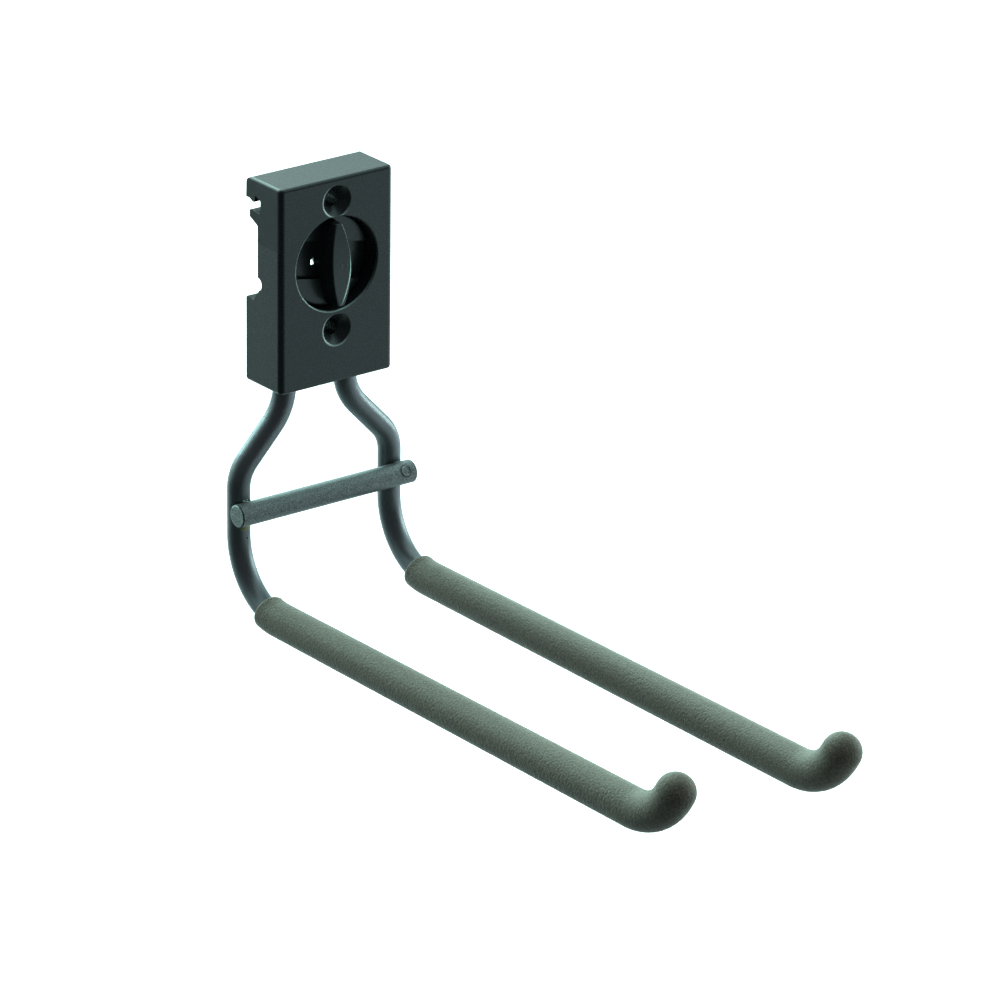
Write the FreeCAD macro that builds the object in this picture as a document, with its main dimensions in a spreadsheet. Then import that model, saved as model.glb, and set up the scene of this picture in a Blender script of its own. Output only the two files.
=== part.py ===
import FreeCAD, Part
import math
import os
import Sketcher

# Garage utility hook: two bent steel rods stand in a moulded housing that clips on a wall track,
# a crossbar ties the rods, soft sleeves cover the two arms, and a turning knob locks the clip.
# +Z is up, the wall is the plane y = 0 and the arms reach towards -Y. The origin lies on the wall
# plane, midway between the two screw holes, and +X is the right arm's side seen from the front.
# Depths are measured forward from the wall, heights and drops up and down from the origin.

HOUSING_SIZES = (
    ("housing_width", 46.5),
    ("housing_depth", 19.65),
    ("housing_top", 30.9),
    ("housing_bottom_drop", 41.8),
    ("front_corner_radius", 1.85),
    ("front_edge_radius", 1.2),
    ("rim_radius", 0.8),
    ("recess_radius", 16.5),
    ("recess_floor_depth", 11.05),
    ("screw_spacing", 45.6),
    ("screw_mouth_radius", 5.6),
    ("screw_seat_angle", 45.0),
    ("screw_hole_radius", 2.6),
)

CLIP_SIZES = (
    ("lip_top_depth", 0.2),
    ("lip_top_radius", 2.2),
    ("lip_height", 24.6),
    ("lip_under_height", 23.7),
    ("lip_edge_radius", 0.3),
    ("lip_foot_depth", 2.0),
    ("tooth_back_depth", 3.6),
    ("tooth_front_depth", 4.75),
    ("tooth_height", 22.9),
    ("apex_depth", 5.0),
    ("apex_height", 25.3),
    ("slot_depth", 8.15),
    ("slot_ceiling_height", 24.1),
    ("slot_ceiling_radius", 0.3),
    ("slot_floor_height", 19.05),
    ("slot_floor_radius", 1.8),
    ("jaw_depth", 1.95),
    ("jaw_top_height", 20.05),
    ("jaw_tip_radius", 0.9),
    ("jaw_bottom_height", 17.3),
    ("jaw_bottom_radius", 0.4),
    ("channel_depth", 6.55),
    ("channel_top_height", 15.0),
    ("channel_corner_radius", 0.8),
    ("bead_radius", 2.3),
    ("bead_drop", 5.6),
    ("ramp_top_depth", 7.9),
    ("ramp_top_drop", 6.85),
    ("ramp_foot_depth", 4.1),
    ("ramp_foot_drop", 12.1),
    ("ramp_foot_radius", 0.9),
    ("ridge_depth", 0.75),
    ("ridge_drop", 11.3),
    ("ridge_radius", 0.35),
    ("back_top_drop", 12.1),
    ("bottom_back_radius", 1.5),
)

KNOB_SIZES = (
    ("knob_height", 0.6),
    ("disc_gap", 0.3),
    ("disc_floor_gap", 0.2),
    ("disc_land_depth", 15.05),
    ("disc_band_depth", 12.95),
    ("disc_edge_radius", 0.8),
    ("band_width", 13.2),
    ("band_turn", -11.0),
    ("grip_width", 7.75),
    ("grip_tip_margin", 1.55),
    ("grip_tip_width", 2.4),
    ("grip_tip_radius", 0.9),
    ("grip_depth", 22.55),
    ("grip_crown_rise", 1.0),
    ("grip_edge_radius", 0.45),
    ("grip_draft", 4.0),
    ("grip_turn", 2.2),
    ("window_offset", 4.9),
    ("window_rise", -0.3),
    ("window_width", 2.4),
    ("window_height", 3.0),
    ("hub_radius", 2.4),
    ("hub_gap", 0.08),
    ("boss_radius", 3.75),
    ("boss_depth", 4.4),
    ("cam_front_gap", 0.2),
    ("cam_thickness", 2.6),
    ("cam_width", 5.6),
    ("cam_reach", 9.2),
    ("keyway_gap", 0.3),
    ("keyway_angle", 225.0),
)

ROD_SIZES = (
    ("rod_diameter", 8.0),
    ("rod_depth", 6.9),
    ("rod_spacing", 24.8),
    ("arm_spacing", 63.0),
    ("rod_top_drop", 17.0),
    ("spread_below_housing", 19.6),
    ("spread_angle", 43.5),
    ("spread_upper_radius", 19.5),
    ("spread_lower_radius", 13.4),
    ("upright_length", 55.55),
    ("arm_bend_radius", 24.0),
    ("left_arm_straight", 192.05),
    ("right_arm_straight", 198.05),
    ("tip_bend_radius", 25.0),
    ("tip_turn", 56.7),
    ("tip_straight", 1.85),
    ("rod_end_chamfer", 0.6),
    ("ring_depth", 0.5),
    ("ring_height", 2.0),
    ("upper_ring_drop", 24.0),
    ("ring_spacing", 9.0),
)

CROSSBAR_SIZES = (
    ("crossbar_diameter", 8.0),
    ("crossbar_depth", 12.8),
    ("crossbar_below_spread", 22.8),
    ("crossbar_overhang", 5.05),
    ("crossbar_end_chamfer", 0.4),
)

SLEEVE_SIZES = (
    ("sleeve_start_radius", 6.08),
    ("sleeve_end_radius", 6.76),
    ("sleeve_start_angle", 72.0),
    ("sleeve_mouth_radius", 1.4),
    ("sleeve_end_wall", 3.0),
)

SECTIONS = (HOUSING_SIZES, CLIP_SIZES, KNOB_SIZES, ROD_SIZES, CROSSBAR_SIZES, SLEEVE_SIZES)

# How far a cutting outline stands out past the solid that it cuts.
CLEAR = 2.0
# Two measures closer than this are the same.
SAME = 1e-4
# How far from a face or an end its own edges may lie and still be picked with it.
PICK_REACH = 1.0
CROWN_PICK_REACH = 0.3
# The share of a slot's half width that rounds its ends. The rest keeps each end a true side.
SLOT_END_SHARE = 0.999
LEFT = -1
RIGHT = 1


class Size:
    """A length or an angle in degrees: its value, and the sheet formula that gives it."""

    def __init__(self, value, formula):
        self.value = value
        self.formula = formula

    def joined(self, sign, other, value):
        return Size(value, f"({self.formula} {sign} {other.formula})")

    def __add__(self, other):
        other = as_size(other)
        return self.joined("+", other, self.value + other.value)

    def __sub__(self, other):
        other = as_size(other)
        return self.joined("-", other, self.value - other.value)

    def __mul__(self, other):
        other = as_size(other)
        return self.joined("*", other, self.value * other.value)

    def __truediv__(self, other):
        other = as_size(other)
        return self.joined("/", other, self.value / other.value)

    def __radd__(self, other):
        return as_size(other) + self

    def __rsub__(self, other):
        return as_size(other) - self

    def __rmul__(self, other):
        return as_size(other) * self

    def __neg__(self):
        return as_size(0) - self


def as_size(number):
    """A plain number as a Size."""
    if isinstance(number, Size):
        return number
    return Size(float(number), str(float(number)))


def sine(angle):
    return Size(math.sin(math.radians(angle.value)), f"sin({angle.formula} * 1 deg)")


def cosine(angle):
    return Size(math.cos(math.radians(angle.value)), f"cos({angle.formula} * 1 deg)")


def tangent(angle):
    return Size(math.tan(math.radians(angle.value)), f"tan({angle.formula} * 1 deg)")


def fill_sheet(doc):
    """The sheet of driving sizes, and each size by its name."""
    sheet = doc.addObject("Spreadsheet::Sheet", "Sizes")
    sizes = {}
    row = 0
    for section in SECTIONS:
        for name, value in section:
            row += 1
            sheet.set(f"A{row}", name)
            sheet.set(f"B{row}", str(value))
            sheet.setAlias(f"B{row}", name)
            sizes[name] = Size(value, f"Sizes.{name}")
        row += 1
    doc.recompute()
    return sizes


def bind(item, path, size):
    """Set one property of an object from the sheet."""
    item.setExpression(path, as_size(size).formula)


def new_body(doc, label):
    """An empty sub-part. Its label names its file."""
    body = doc.addObject("PartDesign::Body", label)
    body.Label = label
    return body


def new_sketch(body, name, role, offset=0, turn=0):
    """A sketch on one of the body's own planes, moved along its normal and turned about it."""
    sketch = body.newObject("Sketcher::SketchObject", name)
    plane = [item for item in body.Origin.OriginFeatures if item.Role == role][0]
    sketch.AttachmentSupport = [(plane, "")]
    sketch.MapMode = "FlatFace"
    spot = FreeCAD.Vector(0, 0, as_size(offset).value)
    rotation = FreeCAD.Rotation(FreeCAD.Vector(0, 0, 1), as_size(turn).value)
    sketch.AttachmentOffset = FreeCAD.Placement(spot, rotation)
    bind(sketch, "AttachmentOffset.Base.z", offset)
    if as_size(turn).value:
        bind(sketch, "AttachmentOffset.Rotation.Angle", turn)
    return sketch


def add_limits(sketch, rules):
    """Add constraints, each with the Size that drives it or None."""
    numbers = sketch.addConstraint([rule for rule, size in rules])
    for number, (rule, size) in zip(numbers, rules):
        if size is not None:
            bind(sketch, f"Constraints[{number}]", size)


def place_point(item, end, across, up):
    """Constraints that hold one point of a sketch at a place from its origin."""
    return [
        (Sketcher.Constraint("DistanceX", -1, 1, item, end, across.value), across),
        (Sketcher.Constraint("DistanceY", -1, 1, item, end, up.value), up),
    ]


def draw_circle(sketch, across, up, radius):
    """A circle with its centre and radius bound."""
    across, up, radius = as_size(across), as_size(up), as_size(radius)
    centre = FreeCAD.Vector(across.value, up.value, 0)
    circle = Part.Circle(centre, FreeCAD.Vector(0, 0, 1), radius.value)
    item = sketch.addGeometry(circle, False)
    rules = place_point(item, 3, across, up)
    rules.append((Sketcher.Constraint("Radius", item, radius.value), radius))
    add_limits(sketch, rules)


def draw_axis(sketch, across, up, length_across, length_up):
    """A construction line, which a turned feature takes as its axis."""
    across, up = as_size(across), as_size(up)
    to_across, to_up = across + length_across, up + length_up
    start = FreeCAD.Vector(across.value, up.value, 0)
    stop = FreeCAD.Vector(to_across.value, to_up.value, 0)
    item = sketch.addGeometry(Part.LineSegment(start, stop), True)
    add_limits(sketch, place_point(item, 1, across, up) + place_point(item, 2, to_across, to_up))


def rounding(before, corner, after, radius):
    """Where a tangent arc of this radius leaves the two sides of a corner, and its arc."""
    back = (before - corner).normalize()
    forth = (after - corner).normalize()
    half = back.getAngle(forth) / 2
    reach = radius / math.tan(half)
    centre = corner + (back + forth).normalize() * (radius / math.sin(half))
    start = corner + back * reach
    stop = corner + forth * reach
    leftward = back.cross(forth).z < 0
    first, last = (start, stop) if leftward else (stop, start)
    angles = [math.atan2(point.y - centre.y, point.x - centre.x) for point in (first, last)]
    if angles[1] < angles[0]:
        angles[1] += 2 * math.pi
    circle = Part.Circle(centre, FreeCAD.Vector(0, 0, 1), radius)
    return start, stop, Part.ArcOfCircle(circle, angles[0], angles[1]), leftward


def draw_path(sketch, corners, closed=True):
    """Straight sides between corners (across, up, radius), each corner rounded by a tangent arc.

    A corner without a radius stays sharp. A rounded corner keeps its own point, on both its sides,
    so that the corner and the radius are what is bound.
    """
    corners = [(as_size(a), as_size(u), as_size(r)) for a, u, r in corners]
    points = [FreeCAD.Vector(a.value, u.value, 0) for a, u, r in corners]
    count = len(points)
    rounds = {}
    for index, (across, up, radius) in enumerate(corners):
        if radius.value:
            before = points[index - 1]
            after = points[(index + 1) % count]
            rounds[index] = rounding(before, points[index], after, radius.value)
    sides = []
    for index in range(count if closed else count - 1):
        after = (index + 1) % count
        start = rounds[index][1] if index in rounds else points[index]
        stop = rounds[after][0] if after in rounds else points[after]
        sides.append(sketch.addGeometry(Part.LineSegment(start, stop), False))
    rules = []
    for index, (across, up, radius) in enumerate(corners):
        if not closed and index == count - 1:
            rules += place_point(sides[-1], 2, across, up)
            continue
        after = sides[index]
        if not closed and index == 0:
            rules += place_point(after, 1, across, up)
            continue
        before = sides[index - 1]
        if index not in rounds:
            rules.append((Sketcher.Constraint("Coincident", before, 2, after, 1), None))
            rules += place_point(after, 1, across, up)
            continue
        arc = sketch.addGeometry(rounds[index][2], False)
        corner = sketch.addGeometry(Part.Point(points[index]), True)
        entry, leave = (1, 2) if rounds[index][3] else (2, 1)
        rules.append((Sketcher.Constraint("Tangent", before, 2, arc, entry), None))
        rules.append((Sketcher.Constraint("Tangent", arc, leave, after, 1), None))
        rules.append((Sketcher.Constraint("PointOnObject", corner, 1, before), None))
        rules.append((Sketcher.Constraint("PointOnObject", corner, 1, after), None))
        rules += place_point(corner, 1, across, up)
        rules.append((Sketcher.Constraint("Radius", arc, radius.value), radius))
    add_limits(sketch, rules)


def pad(body, sketch, length, both_ways=False, backwards=False):
    """The sketch drawn out into a solid."""
    feature = body.newObject("PartDesign::Pad", f"{sketch.Name}_pad")
    feature.Profile = sketch
    bind(feature, "Length", length)
    feature.SideType = "Symmetric" if both_ways else "One side"
    feature.Reversed = backwards
    return feature


def pocket(body, sketch, length, both_ways=False, backwards=False):
    """The sketch drawn out and taken away."""
    feature = body.newObject("PartDesign::Pocket", f"{sketch.Name}_pocket")
    feature.Profile = sketch
    bind(feature, "Length", length)
    feature.SideType = "Symmetric" if both_ways else "One side"
    feature.Reversed = backwards
    return feature


def turned(body, sketch, kind="Revolution", angle=360, backwards=False):
    """The sketch turned about its own construction line, added or taken away."""
    feature = body.newObject(f"PartDesign::{kind}", f"{sketch.Name}_turned")
    feature.Profile = sketch
    feature.ReferenceAxis = (sketch, ["Axis0"])
    bind(feature, "Angle", angle)
    feature.Reversed = backwards
    return feature


def drawn_along(body, spine, profile, kind="AdditivePipe"):
    """The profile carried along the spine, added or taken away."""
    feature = body.newObject(f"PartDesign::{kind}", f"{profile.Name}_pipe")
    feature.Profile = profile
    feature.Spine = spine
    return feature


def edge_names(feature, test):
    """The names of the edges that a test picks."""
    edges = feature.Shape.Edges
    return [f"Edge{number}" for number, edge in enumerate(edges, 1) if test(edge)]


def soften(doc, body, base, name, test, radius, kind="Fillet", path="Radius"):
    """Round or chamfer the picked edges of a feature."""
    doc.recompute()
    feature = body.newObject(f"PartDesign::{kind}", name)
    feature.Base = (base, edge_names(base, test))
    bind(feature, path, radius)
    return feature


def near(first, second):
    """Two measures that are the same but for rounding."""
    return abs(first - second) < SAME


def lies_at(edge, **places):
    """True where each end of the edge has the given coordinates."""
    ends = [vertex.Point for vertex in edge.Vertexes]
    return all(near(getattr(end, axis), value) for end in ends for axis, value in places.items())


def circle_at(edge, radius, centre):
    """True where the edge is a full or part circle with this radius and centre."""
    if edge.Degenerated or not isinstance(edge.Curve, Part.Circle):
        return False
    return near(edge.Curve.Radius, radius) and near(edge.Curve.Center.distanceToPoint(centre), 0)


def clip_outline(v):
    """The open space behind the housing, from its top edge down past the track to its bottom edge."""
    top = v["housing_top"]
    bottom = -v["housing_bottom_drop"]
    inset = -v["channel_depth"]
    return [
        (CLEAR, top + CLEAR, 0),
        (inset, top + CLEAR, 0),
        (inset, top, 0),
        (-v["lip_top_depth"], top, v["lip_top_radius"]),
        (0, v["lip_height"], v["lip_edge_radius"]),
        (0, v["lip_under_height"], v["lip_edge_radius"]),
        (-v["lip_foot_depth"], v["lip_under_height"], v["lip_edge_radius"]),
        (-v["tooth_back_depth"], v["tooth_height"], v["lip_edge_radius"]),
        (-v["tooth_front_depth"], v["tooth_height"], v["lip_edge_radius"]),
        (-v["apex_depth"], v["apex_height"], 0),
        (-v["slot_depth"], v["slot_ceiling_height"], v["slot_ceiling_radius"]),
        (-v["slot_depth"], v["slot_floor_height"], v["slot_floor_radius"]),
        (-v["jaw_depth"], v["jaw_top_height"], v["jaw_tip_radius"]),
        (-v["jaw_depth"], v["jaw_bottom_height"], v["jaw_bottom_radius"]),
        (inset, v["channel_top_height"], v["channel_corner_radius"]),
        (inset, -v["bead_drop"], 0),
        (-v["ramp_top_depth"], -v["ramp_top_drop"], 0),
        (-v["ramp_foot_depth"], -v["ramp_foot_drop"], v["ramp_foot_radius"]),
        (-v["ridge_depth"], -v["ridge_drop"], v["ridge_radius"]),
        (0, -v["back_top_drop"], 0),
        (0, bottom, v["bottom_back_radius"]),
        (inset, bottom, 0),
        (inset, bottom - CLEAR, 0),
        (CLEAR, bottom - CLEAR, 0),
    ]


def recess_outline(v):
    """Half the section of the knob's recess and of the bore behind it, from the knob's axis out."""
    axis = v["knob_height"]
    front = -v["housing_depth"]
    wall = axis + v["recess_radius"]
    floor = -v["recess_floor_depth"]
    bore = axis + v["hub_radius"] + v["hub_gap"]
    return [
        (front - CLEAR, axis, 0),
        (front - CLEAR, wall + CLEAR, 0),
        (front, wall + CLEAR, 0),
        (front, wall, v["rim_radius"]),
        (floor, wall, 0),
        (floor, bore, 0),
        (CLEAR, bore, 0),
        (CLEAR, axis, 0),
    ]


def screw_outline(v):
    """Half the section of the upper screw hole: rounded mouth, conical seat and clear hole."""
    axis = v["screw_spacing"] / 2
    front = -v["housing_depth"]
    mouth = axis + v["screw_mouth_radius"]
    hole = axis + v["screw_hole_radius"]
    seat_foot = front + (mouth - hole) * tangent(v["screw_seat_angle"])
    return [
        (front - CLEAR, axis, 0),
        (front - CLEAR, mouth + CLEAR, 0),
        (front, mouth + CLEAR, 0),
        (front, mouth, v["rim_radius"]),
        (seat_foot, hole, 0),
        (CLEAR, hole, 0),
        (CLEAR, axis, 0),
    ]


def ring_edges(v):
    """The bottom and top height of each ring groove round a rod's anchored end, lowest first."""
    upper = -v["upper_ring_drop"]
    return [(middle - v["ring_height"] / 2, middle + v["ring_height"] / 2)
            for middle in (upper - v["ring_spacing"], upper)]


def socket_outline(v, side):
    """Half the section of the hole that the moulding leaves round a rod's anchored end."""
    axis = side * v["rod_spacing"] / 2
    wall = axis + v["rod_diameter"] / 2
    ring = wall - v["ring_depth"]
    bottom = -v["housing_bottom_drop"] - CLEAR
    top = -v["rod_top_drop"]
    corners = [(axis, bottom, 0), (wall, bottom, 0)]
    for low, high in ring_edges(v):
        corners += [(wall, low, 0), (ring, low, 0), (ring, high, 0), (wall, high, 0)]
    return corners + [(wall, top, 0), (axis, top, 0)]


def slot_outline(length, width):
    """A straight slot from the sketch's origin along its first axis, with round ends."""
    half = width / 2
    end_radius = half * SLOT_END_SHARE
    return [
        (-half, -half, end_radius),
        (length, -half, end_radius),
        (length, half, end_radius),
        (-half, half, end_radius),
    ]


def make_housing(doc, v):
    """The moulded block: clip at the back, knob recess and two screw holes in front."""
    body = new_body(doc, "housing")
    half_width = v["housing_width"] / 2
    depth = v["housing_depth"]
    top = v["housing_top"]
    bottom = -v["housing_bottom_drop"]

    block = new_sketch(body, "block", "XZ_Plane")
    draw_path(block, [
        (-half_width, bottom, 0),
        (half_width, bottom, 0),
        (half_width, top, 0),
        (-half_width, top, 0),
    ])
    solid = pad(body, block, depth)

    def on_front_corner(edge):
        return any(lies_at(edge, x=x, y=-depth.value) for x in (-half_width.value, half_width.value))

    solid = soften(doc, body, solid, "front_corners", on_front_corner, v["front_corner_radius"])

    def on_front_rim(edge):
        return any(lies_at(edge, y=-depth.value, z=z) for z in (bottom.value, top.value))

    solid = soften(doc, body, solid, "front_rims", on_front_rim, v["front_edge_radius"])

    clip = new_sketch(body, "clip", "YZ_Plane")
    draw_path(clip, clip_outline(v))
    pocket(body, clip, v["housing_width"] + CLEAR, both_ways=True)

    bead = new_sketch(body, "bead_groove", "YZ_Plane")
    draw_circle(bead, -v["channel_depth"], -v["bead_drop"], v["bead_radius"])
    pocket(body, bead, v["housing_width"] + CLEAR, both_ways=True)

    boss = new_sketch(body, "hub_boss", "XZ_Plane", v["boss_depth"])
    draw_circle(boss, 0, v["knob_height"], v["boss_radius"])
    pad(body, boss, v["recess_floor_depth"] - v["boss_depth"])

    recess = new_sketch(body, "recess", "YZ_Plane")
    draw_axis(recess, 0, v["knob_height"], -depth, 0)
    draw_path(recess, recess_outline(v))
    turned(body, recess, "Groove")

    keyway = new_sketch(body, "cam_keyway", "XZ_Plane", 0, v["keyway_angle"])
    bind(keyway, "AttachmentOffset.Base.y", v["knob_height"])
    keyway_width = v["cam_width"] + v["keyway_gap"] * 2
    keyway_length = v["cam_reach"] + v["keyway_gap"]
    draw_path(keyway, slot_outline(keyway_length, keyway_width))
    pocket(body, keyway, v["recess_floor_depth"] + CLEAR, backwards=True)

    screw = new_sketch(body, "screw_hole", "YZ_Plane")
    draw_axis(screw, 0, v["screw_spacing"] / 2, -depth, 0)
    draw_path(screw, screw_outline(v))
    upper_hole = turned(body, screw, "Groove")
    lower_hole = body.newObject("PartDesign::Mirrored", "lower_screw_hole")
    lower_hole.Originals = [upper_hole]
    level = [item for item in body.Origin.OriginFeatures if item.Role == "XY_Plane"][0]
    lower_hole.MirrorPlane = (level, [""])
    body.Tip = lower_hole

    for side, name in ((LEFT, "left_socket"), (RIGHT, "right_socket")):
        socket = new_sketch(body, name, "XZ_Plane", v["rod_depth"])
        axis = side * v["rod_spacing"] / 2
        draw_axis(socket, axis, -v["housing_bottom_drop"], 0, v["housing_bottom_drop"])
        draw_path(socket, socket_outline(v, side))
        turned(body, socket, "Groove")
    return body


def knob_radius(v):
    """The radius of the knob's disc, which runs in the recess."""
    return v["recess_radius"] - v["disc_gap"]


def grip_length(v):
    """The length of the grip's face, whose tips stay inside the disc's edge."""
    return (knob_radius(v) - v["grip_tip_margin"]) * 2


def make_knob(doc, v):
    """The lock knob: disc, finger grip, hub and cam in one moulding, about its own axis."""
    body = new_body(doc, "lock_knob")
    bind(body, "Placement.Base.z", v["knob_height"])
    disc_radius = knob_radius(v)
    length = grip_length(v)
    disc_back = v["recess_floor_depth"] + v["disc_floor_gap"]
    cam_front = v["boss_depth"] - v["cam_front_gap"]
    cam_back = cam_front - v["cam_thickness"]

    disc = new_sketch(body, "disc_and_hub", "YZ_Plane")
    draw_axis(disc, 0, 0, -v["disc_land_depth"], 0)
    draw_path(disc, [
        (-v["disc_land_depth"], 0, 0),
        (-v["disc_land_depth"], disc_radius, v["disc_edge_radius"]),
        (-disc_back, disc_radius, 0),
        (-disc_back, v["hub_radius"], 0),
        (-cam_back, v["hub_radius"], 0),
        (-cam_back, 0, 0),
    ])
    turned(body, disc)

    band = new_sketch(body, "finger_band", "XZ_Plane", v["disc_band_depth"], v["band_turn"])
    half_band = v["band_width"] / 2
    beyond = disc_radius + CLEAR
    draw_path(band, [
        (-beyond, -half_band, 0),
        (beyond, -half_band, 0),
        (beyond, half_band, 0),
        (-beyond, half_band, 0),
    ])
    pocket(body, band, v["disc_land_depth"] - v["disc_band_depth"] + CLEAR, backwards=True)

    windows = new_sketch(body, "windows", "XZ_Plane", v["disc_band_depth"])
    for side in (LEFT, RIGHT):
        middle = side * v["window_offset"]
        rise = -side * v["window_rise"]
        half_width = v["window_width"] / 2
        half_height = v["window_height"] / 2
        draw_path(windows, [
            (middle - half_width, rise - half_height, 0),
            (middle + half_width, rise - half_height, 0),
            (middle + half_width, rise + half_height, 0),
            (middle - half_width, rise + half_height, 0),
        ])
    pocket(body, windows, v["disc_band_depth"] - disc_back + CLEAR)

    grip = new_sketch(body, "grip", "XZ_Plane", v["grip_depth"], v["grip_turn"])
    draw_lens(grip, v["grip_width"], length, v["grip_tip_width"])
    sink = v["disc_floor_gap"]
    grip_solid = pad(body, grip, v["grip_depth"] - v["disc_band_depth"] + sink, backwards=True)
    bind(grip_solid, "TaperAngle", v["grip_draft"])

    def on_tip_corner(edge):
        ends = [vertex.Point for vertex in edge.Vertexes]
        at_tip = all(abs(end.z) > length.value / 2 - PICK_REACH for end in ends)
        depths = sorted(-end.y for end in ends)
        upright = depths[0] < v["grip_depth"].value - PICK_REACH
        return at_tip and upright and near(depths[-1], v["grip_depth"].value)

    grip_solid = soften(doc, body, grip_solid, "grip_tips", on_tip_corner, v["grip_tip_radius"])

    crown = new_sketch(body, "grip_crown", "YZ_Plane")
    draw_crown(crown, v)
    crowned = pocket(body, crown, length, both_ways=True)

    def on_crown(edge):
        reach = (v["grip_depth"] - v["grip_crown_rise"]).value - CROWN_PICK_REACH
        return all(vertex.Point.y < -reach for vertex in edge.Vertexes)

    soften(doc, body, crowned, "grip_edge", on_crown, v["grip_edge_radius"])

    cam = new_sketch(body, "cam", "XZ_Plane", cam_back)
    draw_path(cam, slot_outline(v["cam_reach"], v["cam_width"]))
    pad(body, cam, v["cam_thickness"])
    return body


def draw_lens(sketch, width, length, tip_width):
    """A long lens: two bowed sides that meet in short flat tips."""
    half = length / 2
    tip = tip_width / 2
    bow = (width - tip_width) / 2
    radius = (half * half + bow * bow) / (bow * 2)
    reach = math.degrees(math.asin(half.value / radius.value))
    rules = []
    items = []
    for side in (RIGHT, LEFT):
        middle = side * (width / 2 - radius)
        centre = FreeCAD.Vector(middle.value, 0, 0)
        turn = 0 if side == RIGHT else 180
        start, stop = (math.radians(turn + part * reach) for part in (-1, 1))
        circle = Part.Circle(centre, FreeCAD.Vector(0, 0, 1), radius.value)
        arc = sketch.addGeometry(Part.ArcOfCircle(circle, start, stop), False)
        rules += place_point(arc, 1, side * tip, -side * half)
        rules += place_point(arc, 2, side * tip, side * half)
        rules.append((Sketcher.Constraint("Radius", arc, radius.value), radius))
        items.append(arc)
    for first, second in (items, items[::-1]):
        start = sketch.getPoint(first, 2)
        stop = sketch.getPoint(second, 1)
        tip_side = sketch.addGeometry(Part.LineSegment(start, stop), False)
        rules.append((Sketcher.Constraint("Coincident", first, 2, tip_side, 1), None))
        rules.append((Sketcher.Constraint("Coincident", tip_side, 2, second, 1), None))
    add_limits(sketch, rules)


def draw_crown(sketch, v):
    """What is cut from the grip in front of its crowned face: an arc, high in the middle."""
    half = grip_length(v) / 2
    rise = v["grip_crown_rise"]
    radius = (half * half + rise * rise) / (rise * 2)
    middle = radius - v["grip_depth"]
    edge = half + CLEAR
    front = -v["grip_depth"] - CLEAR
    reach = math.asin(edge.value / radius.value)
    centre = FreeCAD.Vector(middle.value, 0, 0)
    circle = Part.Circle(centre, FreeCAD.Vector(0, 0, 1), radius.value)
    bow = Part.ArcOfCircle(circle, math.pi - reach, math.pi + reach)
    arc = sketch.addGeometry(bow, False)
    below = FreeCAD.Vector(front.value, -edge.value, 0)
    above = FreeCAD.Vector(front.value, edge.value, 0)
    points = [sketch.getPoint(arc, 2), below, above, sketch.getPoint(arc, 1)]
    sides = [sketch.addGeometry(Part.LineSegment(a, b), False) for a, b in zip(points, points[1:])]
    rules = place_point(arc, 3, middle, as_size(0))
    rules.append((Sketcher.Constraint("Radius", arc, radius.value), radius))
    rules.append((Sketcher.Constraint("Coincident", arc, 2, sides[0], 1), None))
    rules.append((Sketcher.Constraint("Coincident", sides[0], 2, sides[1], 1), None))
    rules.append((Sketcher.Constraint("Coincident", sides[1], 2, sides[2], 1), None))
    rules.append((Sketcher.Constraint("Coincident", sides[2], 2, arc, 1), None))
    rules.append((Sketcher.Constraint("Horizontal", sides[0]), None))
    rules.append((Sketcher.Constraint("Horizontal", sides[2]), None))
    rules += place_point(sides[1], 1, front, -edge)
    rules += place_point(sides[1], 2, front, edge)
    add_limits(sketch, rules)


def tip_start_depth(v, arm_straight):
    """How far in front of the wall the arm's straight run ends and its tip starts to rise."""
    return v["rod_depth"] + v["arm_bend_radius"] + arm_straight


def spread_level(v):
    """The height of the middle of the spread, below the housing."""
    return -(v["housing_bottom_drop"] + v["spread_below_housing"])


def arm_level(v):
    """The height of an arm's middle line, the upright's length below the spread."""
    return spread_level(v) - v["upright_length"]


def arm_root(v):
    """The height where the arm begins, on a rod's lower upright and a rod's width above its bend."""
    return arm_level(v) + v["arm_bend_radius"] + v["rod_diameter"]


def draw_arm_spine(body, v, side, arm_straight):
    """The middle line of a rod from its lower upright to its end inside the sleeve."""
    spine = new_sketch(body, "arm_spine", "YZ_Plane", side * v["arm_spacing"] / 2)
    level = arm_level(v)
    corner_reach = v["tip_bend_radius"] * tangent(v["tip_turn"] / 2)
    tip_corner = -tip_start_depth(v, arm_straight) - corner_reach
    run = corner_reach + v["tip_straight"] + v["sleeve_end_radius"] - v["sleeve_end_wall"]
    draw_path(spine, [
        (-v["rod_depth"], arm_root(v), 0),
        (-v["rod_depth"], level, v["arm_bend_radius"]),
        (tip_corner, level, v["tip_bend_radius"]),
        (tip_corner - run * cosine(v["tip_turn"]), level + run * sine(v["tip_turn"]), 0),
    ], closed=False)
    return spine


def arm_section(body, v, side):
    """The rod's round section where its arm begins."""
    section = new_sketch(body, "arm_section", "XY_Plane", arm_root(v))
    draw_circle(section, side * v["arm_spacing"] / 2, -v["rod_depth"], v["rod_diameter"] / 2)
    return section


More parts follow.
